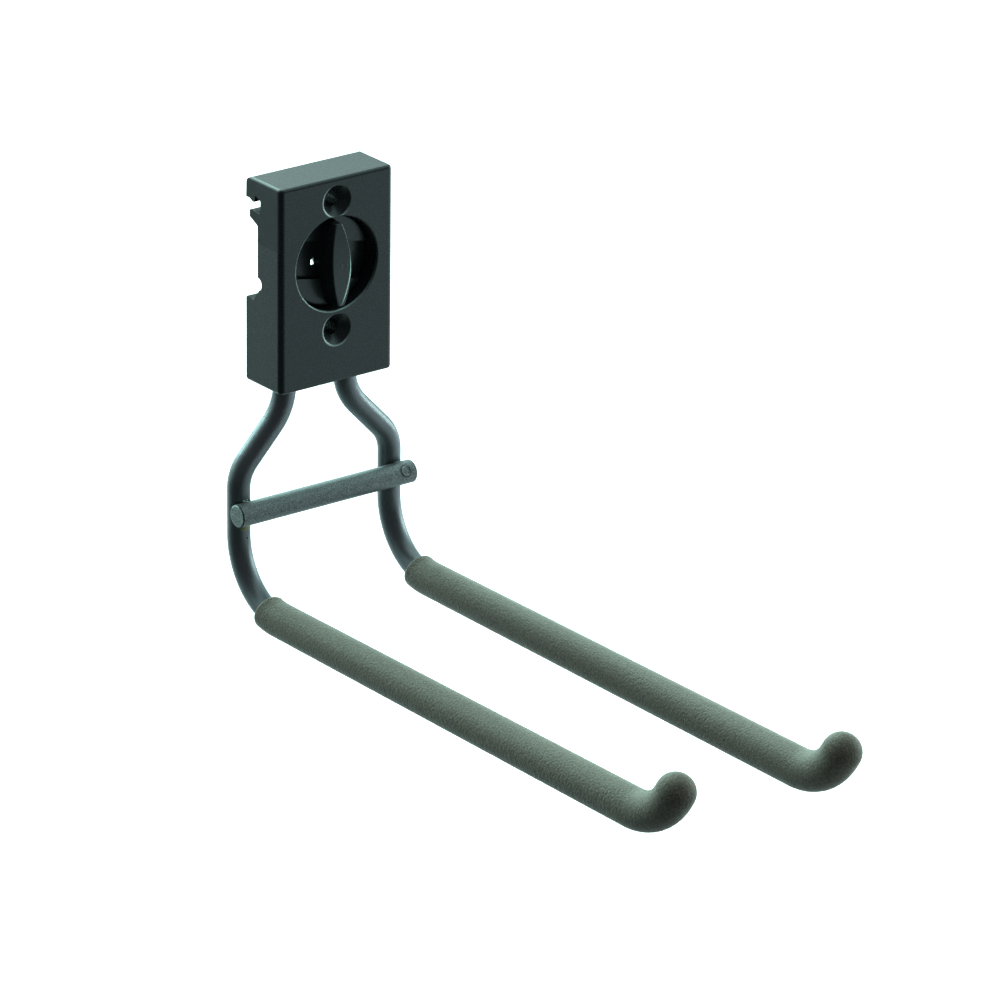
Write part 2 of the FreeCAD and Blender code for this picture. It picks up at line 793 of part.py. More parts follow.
def make_rod(doc, v, side, label, arm_straight):
    """One rod of drawn steel: anchored end, spread in the wall's plane, then the arm and its tip."""
    body = new_body(doc, label)
    inner = v["rod_spacing"] / 2
    outer = v["arm_spacing"] / 2
    top = -v["rod_top_drop"]
    rise = (outer - inner) / 2 / tangent(v["spread_angle"])
    middle = spread_level(v)

    spine = new_sketch(body, "spread_spine", "XZ_Plane", v["rod_depth"])
    draw_path(spine, [
        (side * inner, top, 0),
        (side * inner, middle + rise, v["spread_upper_radius"]),
        (side * outer, middle - rise, v["spread_lower_radius"]),
        (side * outer, arm_root(v), 0),
    ], closed=False)
    section = new_sketch(body, "spread_section", "XY_Plane", top)
    draw_circle(section, side * inner, -v["rod_depth"], v["rod_diameter"] / 2)
    drawn_along(body, spine, section)

    arm_spine = draw_arm_spine(body, v, side, arm_straight)
    solid = drawn_along(body, arm_spine, arm_section(body, v, side))
    doc.recompute()
    run_end = arm_spine.Shape.Vertexes[-1].Point

    def on_end(edge):
        return circle_at(edge, v["rod_diameter"].value / 2, run_end)

    soften(doc, body, solid, "end_chamfer", on_end, v["rod_end_chamfer"], "Chamfer", "Size")

    rings = new_sketch(body, "ring_grooves", "XZ_Plane", v["rod_depth"])
    draw_axis(rings, side * inner, top, 0, -v["upper_ring_drop"])
    wall = side * inner + v["rod_diameter"] / 2
    for low, high in ring_edges(v):
        draw_path(rings, [
            (wall - v["ring_depth"], low, 0),
            (wall + v["ring_depth"], low, 0),
            (wall + v["ring_depth"], high, 0),
            (wall - v["ring_depth"], high, 0),
        ])
    turned(body, rings, "Groove")
    return body


def make_crossbar(doc, v):
    """The tie between the rods: a sawn length of rod, saddled over both and welded."""
    body = new_body(doc, "crossbar")
    radius = v["crossbar_diameter"] / 2
    length = v["arm_spacing"] + v["crossbar_overhang"] * 2
    level = spread_level(v) - v["crossbar_below_spread"]
    bar = new_sketch(body, "bar_section", "YZ_Plane")
    draw_circle(bar, -v["crossbar_depth"], level, radius)
    solid = pad(body, bar, length, both_ways=True)

    def on_end(edge):
        return any(lies_at(edge, x=x) for x in (-length.value / 2, length.value / 2))

    soften(doc, body, solid, "sawn_ends", on_end, v["crossbar_end_chamfer"], "Chamfer", "Size")

    saddles = new_sketch(body, "saddles", "XY_Plane", level)
    for side in (LEFT, RIGHT):
        draw_circle(saddles, side * v["arm_spacing"] / 2, -v["rod_depth"], v["rod_diameter"] / 2)
    pocket(body, saddles, v["crossbar_diameter"] + CLEAR, both_ways=True)
    return body


def make_sleeve(doc, v, side, label, arm_straight):
    """One soft sleeve: closed at the tip, thicker towards it, and drawn over the arm."""
    body = new_body(doc, label)
    across = side * v["arm_spacing"] / 2
    level = arm_level(v)
    start_depth = v["rod_depth"] + v["arm_bend_radius"]
    tip_depth = tip_start_depth(v, arm_straight)

    start = new_sketch(body, "start_section", "XZ_Plane", start_depth)
    draw_axis(start, across - v["arm_bend_radius"], level + v["arm_bend_radius"],
              v["arm_bend_radius"] * 2, 0)
    draw_circle(start, across, level, v["sleeve_start_radius"])
    turned(body, start, angle=90 - v["sleeve_start_angle"])

    arm = new_sketch(body, "arm_taper", "YZ_Plane", across)
    draw_axis(arm, -start_depth, level, -arm_straight, 0)
    draw_path(arm, [
        (-start_depth, level, 0),
        (-tip_depth, level, 0),
        (-tip_depth, level + v["sleeve_end_radius"], 0),
        (-start_depth, level + v["sleeve_start_radius"], 0),
    ])
    turned(body, arm)

    rise = new_sketch(body, "rise_section", "XZ_Plane", tip_depth)
    draw_axis(rise, across - v["tip_bend_radius"], level + v["tip_bend_radius"],
              v["tip_bend_radius"] * 2, 0)
    draw_circle(rise, across, level, v["sleeve_end_radius"])
    turned(body, rise, angle=v["tip_turn"], backwards=True)

    tip = new_sketch(body, "tip_dome", "YZ_Plane", across)
    draw_dome(tip, v, tip_depth)
    solid = turned(body, tip)

    doc.recompute()
    angle = math.radians(v["sleeve_start_angle"].value)
    bend = v["arm_bend_radius"].value
    mouth = FreeCAD.Vector(
        across.value,
        -v["rod_depth"].value - bend * (1 - math.cos(angle)),
        level.value + bend - bend * math.sin(angle),
    )

    def on_mouth(edge):
        return circle_at(edge, v["sleeve_start_radius"].value, mouth)

    soften(doc, body, solid, "mouth_round", on_mouth, v["sleeve_mouth_radius"])
    spine = draw_arm_spine(body, v, side, arm_straight)
    drawn_along(body, spine, arm_section(body, v, side), "SubtractivePipe")
    return body


def draw_dome(sketch, v, tip_depth):
    """Half the section of the sleeve's end: a short straight run closed by a quarter circle."""
    turn = v["tip_turn"]
    bend = v["tip_bend_radius"]
    radius = v["sleeve_end_radius"]
    along = (-cosine(turn), sine(turn))
    out = (sine(turn), cosine(turn))
    root = (-tip_depth - bend * sine(turn), arm_level(v) + bend - bend * cosine(turn))

    def place(forward, outward):
        return tuple(r + a * forward + o * outward for r, a, o in zip(root, along, out))

    straight = v["tip_straight"]
    places = [place(0, 0), place(0, radius), place(straight, radius), place(straight + radius, 0)]
    points = [FreeCAD.Vector(x.value, y.value, 0) for x, y in places]
    pivot = place(straight, 0)
    centre = FreeCAD.Vector(pivot[0].value, pivot[1].value, 0)
    draw_axis(sketch, root[0], root[1], along[0] * bend, along[1] * bend)
    sides = [sketch.addGeometry(Part.LineSegment(points[a], points[b]), False)
             for a, b in ((0, 1), (1, 2), (3, 0))]
    angles = [math.atan2(p.y - centre.y, p.x - centre.x) for p in (points[2], points[3])]
    if angles[1] < angles[0]:
        angles[1] += 2 * math.pi
    circle = Part.Circle(centre, FreeCAD.Vector(0, 0, 1), radius.value)
    dome = sketch.addGeometry(Part.ArcOfCircle(circle, angles[0], angles[1]), False)
    rules = place_point(sides[0], 1, *places[0])
    rules += place_point(sides[1], 1, *places[1])
    rules += place_point(dome, 1, *places[2])
    rules += place_point(dome, 2, *places[3])
    rules.append((Sketcher.Constraint("Radius", dome, radius.value), radius))
    rules.append((Sketcher.Constraint("Coincident", sides[0], 2, sides[1], 1), None))
    rules.append((Sketcher.Constraint("Coincident", sides[1], 2, dome, 1), None))
    rules.append((Sketcher.Constraint("Coincident", dome, 2, sides[2], 1), None))
    rules.append((Sketcher.Constraint("Coincident", sides[2], 2, sides[0], 1), None))
    add_limits(sketch, rules)


def check_document(doc, bodies):
    """Stop before anything is written where a feature failed or a sub-part isn't one sound solid."""
    for item in doc.Objects:
        if "Invalid" in item.State or "Error" in item.State:
            raise RuntimeError(f"{item.Name} failed: {item.State}")
    for body in bodies:
        shape = body.Shape
        if shape.isNull() or not shape.isValid() or len(shape.Solids) != 1:
            raise RuntimeError(f"{body.Label} isn't one valid solid")


def main():
    os.makedirs("parts", exist_ok=True)
    doc = FreeCAD.newDocument("GarageHook")
    v = fill_sheet(doc)
    bodies = [
        make_housing(doc, v),
        make_knob(doc, v),
        make_rod(doc, v, LEFT, "left_rod", v["left_arm_straight"]),
        make_rod(doc, v, RIGHT, "right_rod", v["right_arm_straight"]),
        make_crossbar(doc, v),
        make_sleeve(doc, v, LEFT, "left_sleeve", v["left_arm_straight"]),
        make_sleeve(doc, v, RIGHT, "right_sleeve", v["right_arm_straight"]),
    ]
    doc.recompute()
    check_document(doc, bodies)
    for body in bodies:
        body.Shape.exportStep(f"parts/{body.Label}.step")
        box = body.Shape.BoundBox
        print(body.Label, round(body.Shape.Volume, 1), "mm3",
              [round(n, 2) for n in (box.XMin, box.YMin, box.ZMin, box.XMax, box.YMax, box.ZMax)])


main()
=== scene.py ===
import math

import bpy
import numpy as np
from mathutils import Matrix


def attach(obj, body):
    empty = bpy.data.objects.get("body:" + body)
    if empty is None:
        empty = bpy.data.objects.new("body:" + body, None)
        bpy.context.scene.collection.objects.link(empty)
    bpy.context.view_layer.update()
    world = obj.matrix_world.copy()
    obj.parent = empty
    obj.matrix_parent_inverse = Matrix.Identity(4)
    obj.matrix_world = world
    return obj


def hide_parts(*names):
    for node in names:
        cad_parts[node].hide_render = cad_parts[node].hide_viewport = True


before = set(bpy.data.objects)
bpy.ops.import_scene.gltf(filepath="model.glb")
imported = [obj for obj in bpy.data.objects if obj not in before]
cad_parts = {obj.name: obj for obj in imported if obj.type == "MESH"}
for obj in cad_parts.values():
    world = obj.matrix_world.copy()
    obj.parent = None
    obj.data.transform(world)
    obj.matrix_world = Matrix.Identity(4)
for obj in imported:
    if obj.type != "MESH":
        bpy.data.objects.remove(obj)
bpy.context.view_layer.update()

# ---------------------------------------------------------------------------------------------
# Housing. One injection moulding in black plastic with a fine spark-eroded grain. The mould's
# side slides meet on a witness line across each side, and above it the skin is darker and rougher.
# It clips over a wall track, or two screws hold it, and it carries every other piece.
# ---------------------------------------------------------------------------------------------


class Wire:
    """One output of a shader node, which adds, multiplies and compares as a number does."""

    def __init__(self, tree, socket):
        self.tree = tree
        self.socket = socket

    def node(self, kind, inputs, output=0, **settings):
        """Another node in this tree: its settings first, then the values or links it takes."""
        item = self.tree.nodes.new(kind)
        for name, value in settings.items():
            setattr(item, name, value)
        for name, value in inputs.items():
            if isinstance(value, Wire):
                self.tree.links.new(value.socket, item.inputs[name])
            else:
                item.inputs[name].default_value = value
        return Wire(self.tree, item.outputs[output])

    def math(self, operation, *others):
        return self.node("ShaderNodeMath", dict(enumerate((self,) + others)), operation=operation)

    def __add__(self, other):
        return self.math("ADD", other)

    def __sub__(self, other):
        return self.math("SUBTRACT", other)

    def __mul__(self, other):
        return self.math("MULTIPLY", other)

    def __rsub__(self, other):
        return self * -1 + other

    def __abs__(self):
        return self.math("ABSOLUTE")

    __radd__ = __add__
    __rmul__ = __mul__

    def least(self, other):
        return self.math("MINIMUM", other)

    def most(self, other):
        return self.math("MAXIMUM", other)

    def rise(self, low, high):
        """0 up to low, 1 from high on, and an S-shaped rise between the two."""
        limits = {"Value": self, "From Min": low, "From Max": high}
        return self.node("ShaderNodeMapRange", limits, interpolation_type="SMOOTHSTEP")

    def tint(self, first, second):
        """The first colour at 0, the second at 1, and their mix between."""
        first, second = (c if isinstance(c, Wire) else (*c, 1) for c in (first, second))
        return self.node("ShaderNodeMix", {0: self, 6: first, 7: second}, 2, data_type="RGBA")

    def part(self, index):
        """One of a vector's three numbers."""
        return self.node("ShaderNodeSeparateXYZ", {0: self}, index)

    def stretched(self, x, y, z):
        """The vector with each of its numbers multiplied."""
        return self.node("ShaderNodeVectorMath", {0: self, 1: (x, y, z)}, operation="MULTIPLY")

    def away_from(self, x, y, z):
        """How far the vector is from a point."""
        return self.node("ShaderNodeVectorMath", {0: self, 1: (x, y, z)}, 1, operation="DISTANCE")

    def grain(self, per_mm, detail=2.0, roughness=0.5):
        """Soft noise between 0 and 1, with so many grains to the millimetre."""
        sockets = {"Vector": self, "Scale": per_mm, "Detail": detail, "Roughness": roughness}
        return self.node("ShaderNodeTexNoise", sockets)

    def relief(self, depth_mm):
        """The surface normal over this height from 0 to 1, so many millimetres deep."""
        return self.node("ShaderNodeBump", {"Height": self, "Strength": 1.0,
                                            "Distance": depth_mm / 1000})


def finish_of(name, pieces, shine, shine_tint):
    """A new material on some pieces: its Object coordinates in millimetres, and its shader."""
    material = bpy.data.materials.new(name)
    material.use_nodes = True
    tree = material.node_tree
    shader = tree.nodes["Principled BSDF"]
    shader.inputs["Specular IOR Level"].default_value = shine
    shader.inputs["Specular Tint"].default_value = (*shine_tint, 1)
    for piece in pieces:
        if not piece.material_slots:
            piece.data.materials.append(material)
        for slot in piece.material_slots:
            slot.material = material
    spot = Wire(tree, tree.nodes.new("ShaderNodeTexCoord").outputs["Object"])
    return spot.stretched(1000, 1000, 1000), shader


def wear(shader, **sockets):
    """Link patterns to a shader's sockets."""
    for name, wire in sockets.items():
        wire.tree.links.new(wire.socket, shader.inputs[name.replace("_", " ")])


place, shader = finish_of("housing_plastic", [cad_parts["housing"]], 0.5, (0.86, 1.0, 1.0))
half_width, top, bottom, front, witness_height = 23.25, 30.9, -41.8, -19.65, 8.6
knob_height, recess_rim, screw_height, screw_rim = 0.6, 16.85, 22.8, 5.75
witness_blur, rubbed_reach, rim_core, rim_fade = 0.08, 1.3, 0.15, 0.38
x, y, z = (place.part(i) for i in range(3))
from_side = half_width - abs(x)
from_end = (top - z).least(z - bottom)
from_front = y - front
# The middle one of the three distances is small only near an edge.
from_edge = from_side.least(from_end).most(from_side.most(from_end).least(from_front))
fine = place.grain(1.7, 3.0, 0.65)
mottle = place.grain(0.22, 3.0, 0.55)
rubbed = (1 - from_edge.rise(0.1, rubbed_reach)) * place.grain(1.1).rise(0.35, 0.75)
above_witness = z.rise(witness_height - witness_blur, witness_height + witness_blur)
above_witness = above_witness * (1 - from_side.rise(0.2, 0.6))
body_colour = mottle.tint((0.0095, 0.0125, 0.0145), (0.0145, 0.0185, 0.0205))
body_colour = above_witness.tint(body_colour, (0.0065, 0.0085, 0.0100))
body_colour = (fine.rise(0.5, 0.7) * 0.4).tint(body_colour, (0.026, 0.031, 0.033))
body_colour = (rubbed * 0.5).tint(body_colour, (0.034, 0.042, 0.042))
# The rounded rims catch the light towards the lower left. They are too narrow for the render to
# show that by itself, so the line of light is drawn here: it is a reflection and not wear.
rims = []
for height, radius in (
    (knob_height, recess_rim),
    (screw_height, screw_rim),
    (-screw_height, screw_rim),
):
    to_rim = abs(place.stretched(1, 0, 1).away_from(0, 0, height) - radius)
    lit_side = 1 - (x + z - height).rise(-0.7 * radius, 0.7 * radius)
    rims.append((1 - to_rim.rise(rim_core, rim_fade)) * lit_side)
rim = rims[0].most(rims[1]).most(rims[2]) * (1 - from_front.rise(0.7, 1.0))
body_colour = rim.tint(body_colour, (0.30, 0.39, 0.37))
wear(
    shader,
    Base_Color=body_colour,
    Roughness=fine * 0.12 + above_witness * 0.25 - rubbed * 0.05 + 0.20,
    Metallic=rim * 0.55,
    Normal=(fine * (above_witness * 1.6 + 0.4)).relief(0.022),
)

# ---------------------------------------------------------------------------------------------
# Lock knob. A second moulding in the same black plastic from a polished tool: a dished disc with
# a lens-shaped finger grip, snapped through the housing and turned to lock the clip. The mould
# filled it through a round gate, whose mark is left in the middle of the grip.
# ---------------------------------------------------------------------------------------------

place, shader = finish_of("knob_plastic", [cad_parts["lock_knob"]], 0.5, (0.86, 1.0, 1.0))
grip_face, gate_radius = -21.15, 1.1
gate_spot = (0.9, -22.55, 0.4)
arc_across, arc_height, arc_radius = -37.55, 2.04, 41.25
fine = place.grain(4.0, 2.0)
mottle = place.grain(0.3, 3.0)
on_grip = 1 - place.part(1).rise(grip_face - 0.6, grip_face)
gate = place.away_from(*gate_spot)
gate_ring = 1 - abs(gate - gate_radius).rise(0.05, 0.3)
gate_dish = 1 - gate.rise(gate_radius - 0.25, gate_radius)
colour = mottle.tint((0.0200, 0.0240, 0.0265), (0.0270, 0.0320, 0.0345))
colour = on_grip.tint(colour, mottle.tint((0.0160, 0.0190, 0.0205), (0.0210, 0.0245, 0.0260)))
colour = (gate_ring * 0.6).tint(colour, (0.030, 0.038, 0.038))
# The line of light along the grip's right edge is drawn too, as on the housing's rims.
from_arc = place.stretched(1, 0, 1).away_from(arc_across, 0, arc_height)
on_arc = 1 - abs(from_arc - arc_radius).rise(0.12, 0.34)
rim = on_arc * (1 - place.part(1).rise(-22.0, -21.4))
colour = rim.tint(colour, (0.40, 0.62, 0.54))
wear(
    shader,
    Base_Color=colour,
    Metallic=rim * 0.7,
    Roughness=fine * 0.08 + gate_dish * 0.1 + 0.22,
    Normal=(fine * 0.2 + gate_ring - gate_dish * 0.6).relief(0.04),
)

# ---------------------------------------------------------------------------------------------
# Rods. Two lengths of 8 mm drawn steel, bent cold and powder coated in satin blue-black. The
# coat has a fine orange peel, and on the left rod an olive stain where it was heated under the
# crossbar and a small dark pit below that.
# ---------------------------------------------------------------------------------------------

rods = [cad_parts[name] for name in ("left_rod", "right_rod")]
place, shader = finish_of("coated_rod", rods, 0.5, (0.86, 1.0, 1.0))
shader.inputs["Metallic"].default_value = 0.8
peel = place.grain(1.5, 2.0, 0.55)
grit = place.grain(4.2, 2.0, 0.6)
mottle = place.grain(0.16, 3.0)
stain_across, stain_depth, stain_height = -31.6, -10.65, -90.1
pit_spot = (-30.89, -10.85, -93.88)
# The stain is twice as long across the rod as it is high.
from_stain = place.stretched(0.5, 1, 1).away_from(stain_across / 2, stain_depth, stain_height)
stain = (1 - from_stain.rise(0.6, 1.4)) * place.grain(1.4).rise(0.36, 0.6)
colour = mottle.tint((0.140, 0.156, 0.168), (0.180, 0.198, 0.212))
colour = (grit.rise(0.60, 0.80) * 0.35).tint(colour, (0.28, 0.36, 0.35))
colour = stain.tint(colour, (0.26, 0.25, 0.09))
pit = 1 - place.away_from(*pit_spot).rise(0.25, 0.5)
colour = pit.tint(colour, (0.010, 0.010, 0.012))
wear(
    shader,
    Base_Color=colour,
    Roughness=grit * 0.14 + stain * 0.2 + 0.24,
    Normal=(peel + grit * 0.9 - pit).relief(0.06),
)

# ---------------------------------------------------------------------------------------------
# Crossbar. A short sawn length of the same rod laid across both uprights and resistance welded.
# Its coat is grainier and paler, thin on the sawn ends. Each weld has a rim of flash, the left
# one two drops of spatter, and the electrode has left an oval print in front of the right one.
# ---------------------------------------------------------------------------------------------

bar_radius, bar_depth, bar_height, rod_depth, rod_across = 4.0, -12.8, -84.2, -6.9, 31.5
print_across, print_turn, print_half_length, print_half_width = 32.0, math.radians(31), 1.7, 1.45


def add_mesh(name, grid, closed_rows=False):
    """A mesh of four-sided faces over a grid of points, whose columns always close on themselves.

    The grid's axes are row, column and x, y, z in millimetres. A first or last row that has
    shrunk to a point becomes one corner with three-sided faces round it. The faces are turned
    about where the volume that they enclose comes out negative.
    """
    rows, columns = grid.shape[:2]
    number = np.arange(rows * columns).reshape(rows, columns)
    points = grid.reshape(-1, 3) / 1000
    lower = number if closed_rows else number[:-1]
    upper = np.roll(number, -1, 0) if closed_rows else number[1:]
    faces = np.stack([lower, np.roll(lower, -1, 1), np.roll(upper, -1, 1), upper], -1).reshape(-1, 4)
    shrunk = [row for row in (0, rows - 1) if np.ptp(grid[row], 0).max() < 1e-9]
    for row in shrunk:
        faces[np.isin(faces, number[row])] = number[row, 0]
    a, b, c, d = (points[faces[:, i]] for i in range(4))
    volume = (np.cross(a, b) * c).sum() + (np.cross(a, c) * d).sum()
    if volume < 0:
        faces = faces[:, ::-1]
    used, faces = np.unique(faces, return_inverse=True)
    faces = faces.reshape(-1, 4)
    sides = [list(dict.fromkeys(face)) for face in faces.tolist()]
    mesh = bpy.data.meshes.new(name)
    mesh.from_pydata(points[used].tolist(), [], sides)
    mesh.polygons.foreach_set("use_smooth", np.ones(len(mesh.polygons), dtype=bool))
    mesh.update()
    piece = bpy.data.objects.new(name, mesh)
    bpy.context.scene.collection.objects.link(piece)
    return piece


def flash_rim(name, line, outward, radius):
    """A rim round a closed line: at each point a circle of that point's radius stands across it.

    A point of the rim is the line's point plus the radius times (cosine of the angle times the
    outward direction, plus sine of the angle times the line's direction crossed with it).
    """
    along = np.roll(line, -1, 0) - np.roll(line, 1, 0)
    along /= np.linalg.norm(along, axis=1, keepdims=True)
    outward = outward - (outward * along).sum(1, keepdims=True) * along
    outward /= np.linalg.norm(outward, axis=1, keepdims=True)
    across = np.cross(along, outward)
    angle = np.linspace(0, 2 * np.pi, 13)[:-1]
    ring = (np.cos(angle)[None, :, None] * outward[:, None]
            + np.sin(angle)[None, :, None] * across[:, None])
    return add_mesh(name, line[:, None] + radius[:, None, None] * ring, closed_rows=True)


def weld_flash(name, side, seed):
    """The rim of flash where the bar's cylinder meets the rod's.

    The angle round the rod swings as a sine as far as the two surfaces meet, and the height above
    or below the bar's middle is what the bar's circle leaves there, signed by the cosine.
    The rim's radius wavers as the sum of six waves.
    """
    turn = np.linspace(0, 2 * np.pi, 181)[:-1]
    widest = math.acos((rod_depth - bar_depth - bar_radius + 0.06) / bar_radius)
    swing = widest * np.sin(turn)
    outward = np.stack([np.sin(swing), -np.cos(swing), np.zeros_like(turn)], 1)
    depth = rod_depth - bar_radius * np.cos(swing)
    rise = np.sqrt(np.maximum(bar_radius ** 2 - (depth - bar_depth) ** 2, 0))
    rise = rise * np.sign(np.cos(turn))
    line = np.stack([side * rod_across + bar_radius * np.sin(swing), depth, bar_height + rise], 1)
    draw = np.random.default_rng(seed)
    waves = sum(np.sin(k * turn + draw.uniform(0, 6.28)) * draw.uniform(0.3, 1)
                for k in (3, 5, 8, 13, 21, 34))
    radius = 0.30 + 0.045 * waves
    lump = np.exp(-((turn - 0.55) / 0.07) ** 2) if side < 0 else np.zeros_like(turn)
    return flash_rim(name, line, outward, np.clip(radius + 0.25 * lump, 0.14, 0.62))


def electrode_print(name):
    """The oval that the electrode pressed up: round its middle, the distance along the bar follows
    the cosine and the angle round the bar follows the sine, both drawn out to a squarish oval."""
    turn = np.linspace(0, 2 * np.pi, 97)[:-1]
    squarish = (np.abs(np.cos(turn)) ** 3 + np.abs(np.sin(turn)) ** 3) ** (-1 / 3)
    along = print_across + print_half_length * squarish * np.cos(turn)
    round_bar = print_turn + print_half_width / bar_radius * squarish * np.sin(turn)
    outward = np.stack([np.zeros_like(turn), -np.cos(round_bar), np.sin(round_bar)], 1)
    line = np.stack([along, bar_depth + bar_radius * outward[:, 1],
                     bar_height + bar_radius * outward[:, 2]], 1)
    radius = 0.24 + 0.06 * np.sin(3 * turn + 1.0) + 0.03 * np.sin(7 * turn)
    return flash_rim(name, line, outward, radius)


def spatter_bead(name, across, depth, height, radius):
    """A drop of weld metal on the rod: rings from pole to pole of a slightly flattened ball."""
    tilt = np.linspace(0, np.pi, 13)
    turn = np.linspace(0, 2 * np.pi, 25)[:-1]
    out = np.where(np.abs(np.cos(tilt)) == 1, 0.0, np.sin(tilt))[:, None]
    ball = np.stack([out * np.cos(turn), out * np.sin(turn), np.cos(tilt)[:, None] + 0 * turn], 2)
    return add_mesh(name, ball * (radius, radius * 0.8, radius) + (across, depth, height))


flash = [
    spatter_bead("spatter_bead_1", -32.28, -10.82, -80.15, 0.48),
    spatter_bead("spatter_bead_2", -31.08, -10.88, -79.95, 0.38),
    weld_flash("left_weld_flash", -1, 11),
    weld_flash("right_weld_flash", 1, 12),
    electrode_print("electrode_print"),
]
place, shader = finish_of("coated_bar", [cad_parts["crossbar"]] + flash, 0.5, (0.84, 1.0, 0.97))
shader.inputs["Metallic"].default_value = 0.5
peel = place.grain(1.0, 2.0, 0.6)
grit = place.grain(2.9, 3.0, 0.7)
mottle = place.grain(0.25, 3.0)
x, y, z = (place.part(i) for i in range(3))
on_end = abs(x).rise(36.3, 36.45)
saw_marks = place.stretched(1, 0.6, 2.2).grain(1.3, 3.0, 0.6).rise(0.36, 0.64)
colour = mottle.tint((0.100, 0.113, 0.117), (0.143, 0.158, 0.164))
colour = grit.rise(0.44, 0.62).tint(colour, (0.285, 0.325, 0.330))
printed = place.away_from(print_across, bar_depth - bar_radius * math.cos(print_turn),
                          bar_height + bar_radius * math.sin(print_turn))
print_rim_highlight = 1 - abs(printed - 1.55).rise(0.1, 0.35)
print_moat_shade = 1 - abs(printed - 2.15).rise(0.1, 0.35)
from_axis = place.stretched(0, 1, 1).away_from(0, bar_depth, bar_height)
end_rim = on_end * from_axis.rise(3.0, 3.45) * grit.rise(0.35, 0.6)
# Round the electrode's print, the raised rim is painted lighter and the band just outside it darker:
# painted highlight and painted shade.
colour = (print_rim_highlight * 0.8).tint(colour, (0.230, 0.300, 0.275))
colour = (print_moat_shade * 0.8).tint(colour, (0.030, 0.038, 0.038))
# The crevice beside the rods and the outline of the sawn ends are darkened in the colour: painted shade.
crevice_shade = y.rise(-11.3, -10.8) * (1 - abs(abs(x) - rod_across).rise(4.1, 4.5))
colour = crevice_shade.tint(colour, (0.012, 0.014, 0.015))
# The drops of spatter and the top of the left weld's flash are painted bright: a painted highlight.
bead_highlight = z.rise(-80.6, -80.5) * y.rise(-11.6, -11.5) * (1 - x.rise(-30.5, -30.4))
colour = bead_highlight.tint(colour, (0.36, 0.45, 0.42))
# A dark line just short of each sawn end: painted shade on the rounded edge.
end_edge_shade = abs(x).rise(35.85, 36.1) * (1 - on_end)
colour = end_edge_shade.tint(colour, (0.016, 0.020, 0.020))
colour = on_end.tint(colour, saw_marks.tint((0.090, 0.110, 0.106), (0.250, 0.290, 0.272)))
colour = (end_rim * 0.8).tint(colour, (0.38, 0.47, 0.44))
wear(
    shader,
    Base_Color=colour,
    Roughness=grit * 0.16 + 0.28,
    Normal=(peel * 0.7 + grit * 1.2 + on_end * saw_marks).relief(0.085),
)
for piece in flash:
    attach(piece, "hook")

# ---------------------------------------------------------------------------------------------
# Sleeves. Each arm wears a soft rubber sleeve, dipped or drawn on over the rod and closed at
# the tip. The skin is matt, olive grey and pebbled like leather, and the open end is rounded.
# ---------------------------------------------------------------------------------------------

arm_level, arm_bend, mouth_turn, tip_bend, tip_turn, tip_run = -116.95, 24.0, 18.0, 25.0, 56.7, 1.85
mouth_radius, end_radius, mouth_round, bore_radius, end_wall = 6.08, 6.76, 1.4, 4.0, 3.0


def arm_line(run, straight):
    """Depth, height and pitch of the arm's middle line, so many millimetres from the sleeve's mouth.

    The pitch starts at minus the mouth's turn, grows as the run over the bend's radius to zero,
    stays there along the straight, and grows again over the tip's radius to the tip's turn. Along
    each arc the depth changes by the radius times the change in the pitch's sine, and the
    height by the radius times the change in its cosine.
    """
    first, last = math.radians(mouth_turn), math.radians(tip_turn)
    pitch = np.clip(run / arm_bend - first, -first, 0)
    on_straight = np.clip(run - arm_bend * first, 0, straight)
    after = run - arm_bend * first - straight
    climb = np.clip(after / tip_bend, 0, last)
    on_tip = np.maximum(after - tip_bend * last, 0)
    depth = (rod_depth - arm_bend * (1 - math.sin(first))
             - arm_bend * (np.sin(pitch) + math.sin(first)) - on_straight
             - tip_bend * np.sin(climb) - on_tip * np.cos(climb))
    height = (arm_level + arm_bend * (1 - math.cos(first))
              - arm_bend * (np.cos(pitch) - math.cos(first))
              + tip_bend * (1 - np.cos(climb)) + on_tip * np.sin(climb))
    return depth, height, pitch + climb


def pebbles(points, seed):
    """Height of the pebbled skin: sixty plane waves of 0.8 to 1.3 mm, in random directions and
    phases, added up, with the crowns flattened by the hyperbolic tangent."""
    draw = np.random.default_rng(seed)
    direction = draw.normal(size=(60, 3))
    direction /= np.linalg.norm(direction, axis=1, keepdims=True)
    number = 2 * np.pi / draw.uniform(0.8, 1.3, 60)
    phase = draw.uniform(0, 2 * np.pi, 60)
    total = np.zeros(points.shape[:-1])
    for way, wave, start in zip(direction, number, phase):
        total += np.sin(points @ way * wave + start)
    return np.tanh(total / math.sqrt(30) * 1.2)


